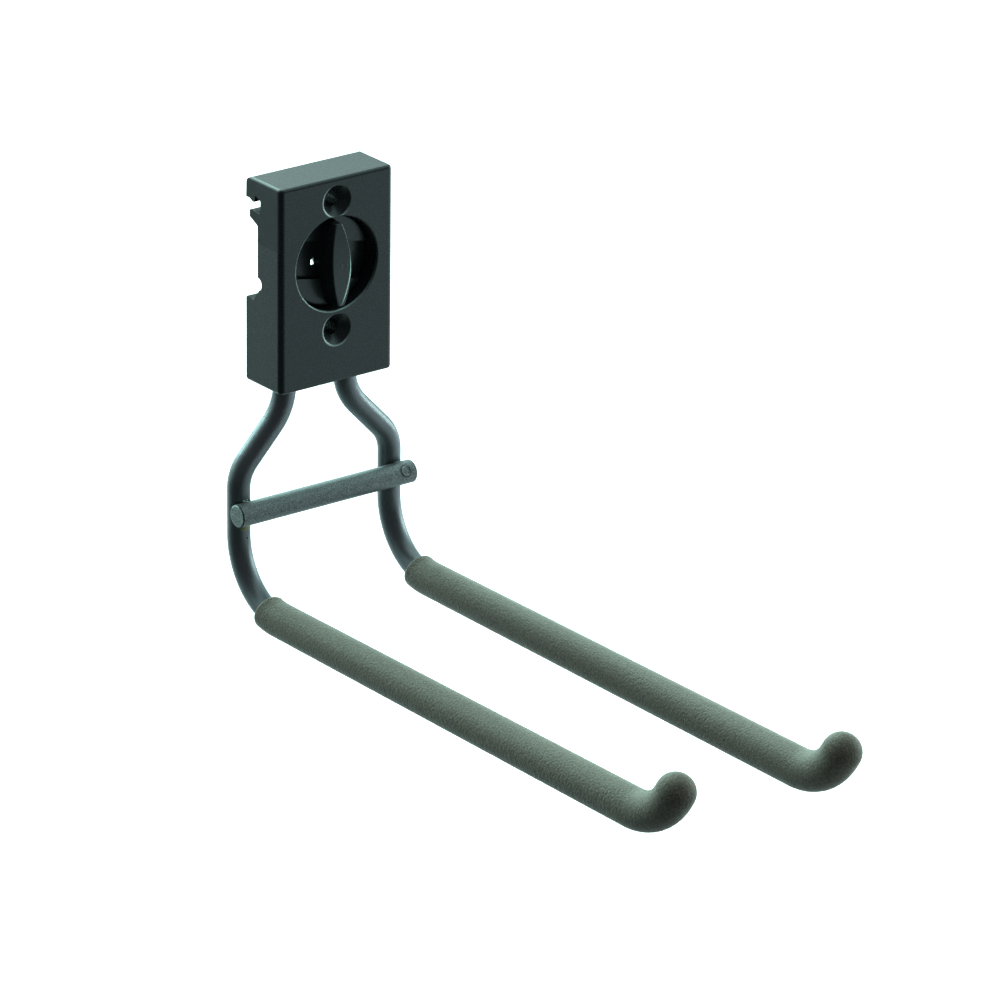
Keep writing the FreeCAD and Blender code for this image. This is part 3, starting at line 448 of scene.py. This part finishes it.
def sleeve(name, across, straight, seed):
    """The sleeve's skin: at each station a circle stands across the arm's middle line.

    The stations go from the rod's end up the bore to the mouth, out over the rounded lip and down
    the outside, whose radius grows evenly along the straight, to the dome. The dome's radius is
    the side of a right triangle on the run past its foot. The skin's pebbles stand on the outside.
    """
    foot = arm_bend * math.radians(mouth_turn) + straight + tip_bend * math.radians(tip_turn) + tip_run
    bore_end = foot + end_radius - end_wall
    inside = np.linspace(bore_end, 0, 70)
    lip = np.linspace(0, np.pi / 2, 8)
    outside = np.arange(mouth_round, foot, 0.36)[1:]
    dome = np.linspace(0, np.pi / 2, 26)
    run = np.concatenate([[bore_end], inside, mouth_round * (1 - np.cos(lip)), outside,
                          foot + end_radius * np.sin(dome)])
    share = np.clip((outside - arm_bend * math.radians(mouth_turn)) / straight, 0, 1)
    radius = np.concatenate([[0], np.full(70, bore_radius),
                             mouth_radius - mouth_round * (1 - np.sin(lip)),
                             mouth_radius + (end_radius - mouth_radius) * share,
                             end_radius * np.cos(dome)])
    radius[-1] = 0
    skin = np.zeros_like(run)
    skin[71:] = 1
    skin[71:79] = np.linspace(0, 1, 8)
    depth, height, pitch = arm_line(run, straight)
    angle = np.linspace(0, 2 * np.pi, 117)[:-1]
    middle = np.stack([np.full_like(run, across), depth, height], 1)[:, None]
    up = np.stack([np.zeros_like(run), np.sin(pitch), np.cos(pitch)], 1)[:, None]
    side = np.array([1.0, 0.0, 0.0])
    spoke = np.cos(angle)[None, :, None] * side + np.sin(angle)[None, :, None] * up
    smooth = middle + radius[:, None, None] * spoke
    stand = 0.05 * pebbles(smooth, seed) * skin[:, None] * np.minimum(radius / 2, 1)[:, None]
    return add_mesh(name, middle + (radius[:, None] + stand)[..., None] * spoke)


sleeves = [
    sleeve("left_arm_sleeve", -31.5, 192.05, 21),
    sleeve("right_arm_sleeve", 31.5, 198.05, 22),
]
place, shader = finish_of("sleeve_rubber", sleeves, 0.5, (0.96, 1.0, 0.84))
shader.inputs["Sheen Weight"].default_value = 0.8
shader.inputs["Sheen Roughness"].default_value = 0.35
shader.inputs["Sheen Tint"].default_value = (0.92, 1.0, 0.92, 1)
pebble = place.node("ShaderNodeTexVoronoi", {"Vector": place, "Scale": 1.5, "Smoothness": 0.6},
                    feature="SMOOTH_F1")
fine = place.grain(1.7, 3.0, 0.65)
mottle = place.grain(0.12, 4.0, 0.6)
pits = pebble.rise(0.25, 0.75)
colour = mottle.tint((0.104, 0.093, 0.072), (0.139, 0.124, 0.097))
colour = (pits * 0.6).tint(colour, (0.061, 0.055, 0.043))
colour = (fine.rise(0.47, 0.62) * 0.7).tint(colour, (0.223, 0.199, 0.160))
wear(
    shader,
    Base_Color=colour,
    Roughness=fine * 0.1 + 0.55,
    Normal=((1 - pits) * 0.6 + fine * 0.6).relief(0.07),
)
for piece, node in zip(sleeves, ("left_sleeve", "right_sleeve")):
    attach(piece, "hook")
    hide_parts(node)

# ---------------------------------------------------------------------------------------------
# Studio. A pale floor under the hook, a white surround that the camera sees as plain white, dark
# on the camera's own side, and three soft lamps: overhead, behind and to the right.
# ---------------------------------------------------------------------------------------------

half, level = 4, -0.34
corners = [(-half, -half, level), (half, -half, level), (half, half, level), (-half, half, level)]
floor_mesh = bpy.data.meshes.new("floor")
floor_mesh.from_pydata(corners, [], [(0, 1, 2, 3)])
floor = bpy.data.objects.new("floor", floor_mesh)
bpy.context.scene.collection.objects.link(floor)
paper = bpy.data.materials.new("floor_paper")
paper.use_nodes = True
floor_mesh.materials.append(paper)
tree = paper.node_tree
seen = Wire(tree, tree.nodes.new("ShaderNodeLightPath").outputs["Is Camera Ray"])
spot = Wire(tree, tree.nodes.new("ShaderNodeTexCoord").outputs["Object"])
shader = tree.nodes["Principled BSDF"]
shader.inputs["Roughness"].default_value = 0.9
# As other surfaces see it, the floor's colour is painted dark on the camera's side and darker close
# under the hook: painted shade. The camera sees it white.
reach = spot.node("ShaderNodeVectorMath", {0: spot}, 1, operation="LENGTH") + 0.1
dark_way = (-0.90, -0.436, 0.0)
towards = spot.node("ShaderNodeVectorMath", {0: spot, 1: dark_way}, 1, operation="DOT_PRODUCT")
lit = (1 - towards.math("DIVIDE", reach).rise(-0.40, 0.65)) * (reach.rise(0.45, 0.85) * 0.45 + 0.55)
floor_colour = lit.tint((0.03, 0.032, 0.033), (0.98, 0.88, 0.94))
wear(shader, Base_Color=seen.tint(floor_colour, (0.92, 0.92, 0.92)),
     Emission_Color=(seen * (spot.grain(2.0) * 0.02 + 0.62)).tint((0, 0, 0), (1, 1, 1)))
shader.inputs["Emission Strength"].default_value = 1.0

world = bpy.data.worlds.new("studio")
bpy.context.scene.world = world
world.use_nodes = True
tree = world.node_tree
sky = Wire(tree, tree.nodes.new("ShaderNodeTexCoord").outputs["Generated"])
seen = Wire(tree, tree.nodes.new("ShaderNodeLightPath").outputs["Is Camera Ray"])
camera_way = (-0.60, -0.80, 0.0)
to_camera = sky.node("ShaderNodeVectorMath", {0: sky, 1: camera_way}, 1, operation="DOT_PRODUCT")
glow = (1 - to_camera.rise(-0.3, 0.5)) * (1 - sky.part(2).rise(0.75, 0.98) * 0.3)
background = tree.nodes["Background"]
surround = glow.tint((0.09, 0.095, 0.10), (0.88, 1.20, 1.16))
tree.links.new(seen.tint(surround, (1, 1, 1)).socket, background.inputs["Color"])


def soft_lamp(name, place, size, watts, colour):
    """A square area lamp that faces the hook's upper part."""
    aim = (0.0, -0.1, -0.05)
    lamp = bpy.data.lights.new(name, "AREA")
    lamp.size = size
    lamp.energy = watts
    lamp.color = colour
    item = bpy.data.objects.new(name, lamp)
    bpy.context.scene.collection.objects.link(item)
    back = np.subtract(place, aim)
    back = back / np.linalg.norm(back)
    right = np.cross((0.0, 1.0, 0.0), back) if abs(back[2]) > 0.9 else np.cross((0.0, 0.0, 1.0), back)
    right = right / np.linalg.norm(right)
    up = np.cross(back, right)
    item.matrix_world = Matrix([[right[i], up[i], back[i], place[i]] for i in range(3)] + [[0, 0, 0, 1]])


soft_lamp("overhead_lamp", (0.1, 0.1, 1.5), 1.4, 3, (0.88, 1.0, 0.95))
soft_lamp("back_lamp", (0.1, 1.7, 0.95), 1.8, 52, (0.66, 1.0, 0.94))
soft_lamp("right_lamp", (1.75, -0.25, 0.12), 0.7, 9, (0.84, 1.0, 0.96))

# ---------------------------------------------------------------------------------------------
# Camera. It stands to the left of the hook and above it, far off behind a long lens, as the
# photograph's perspective shows.
# ---------------------------------------------------------------------------------------------

camera_data = bpy.data.cameras.new("camera")
camera_data.sensor_width = 36.0
camera_data.lens = 285.56
camera_data.clip_end = 50
camera = bpy.data.objects.new("camera", camera_data)
bpy.context.scene.collection.objects.link(camera)
azimuth, elevation, roll = (math.radians(angle) for angle in (-37.420, 21.621, 0.609))
turn = Matrix.Rotation(azimuth, 4, "Z") @ Matrix.Rotation(math.pi / 2 - elevation, 4, "X")
camera.matrix_world = (Matrix.Translation((-1.471951, -2.034559, 0.904996)) @ turn
                       @ Matrix.Rotation(roll, 4, "Z"))
bpy.context.scene.camera = camera
bpy.context.scene.view_settings.view_transform = "Standard"
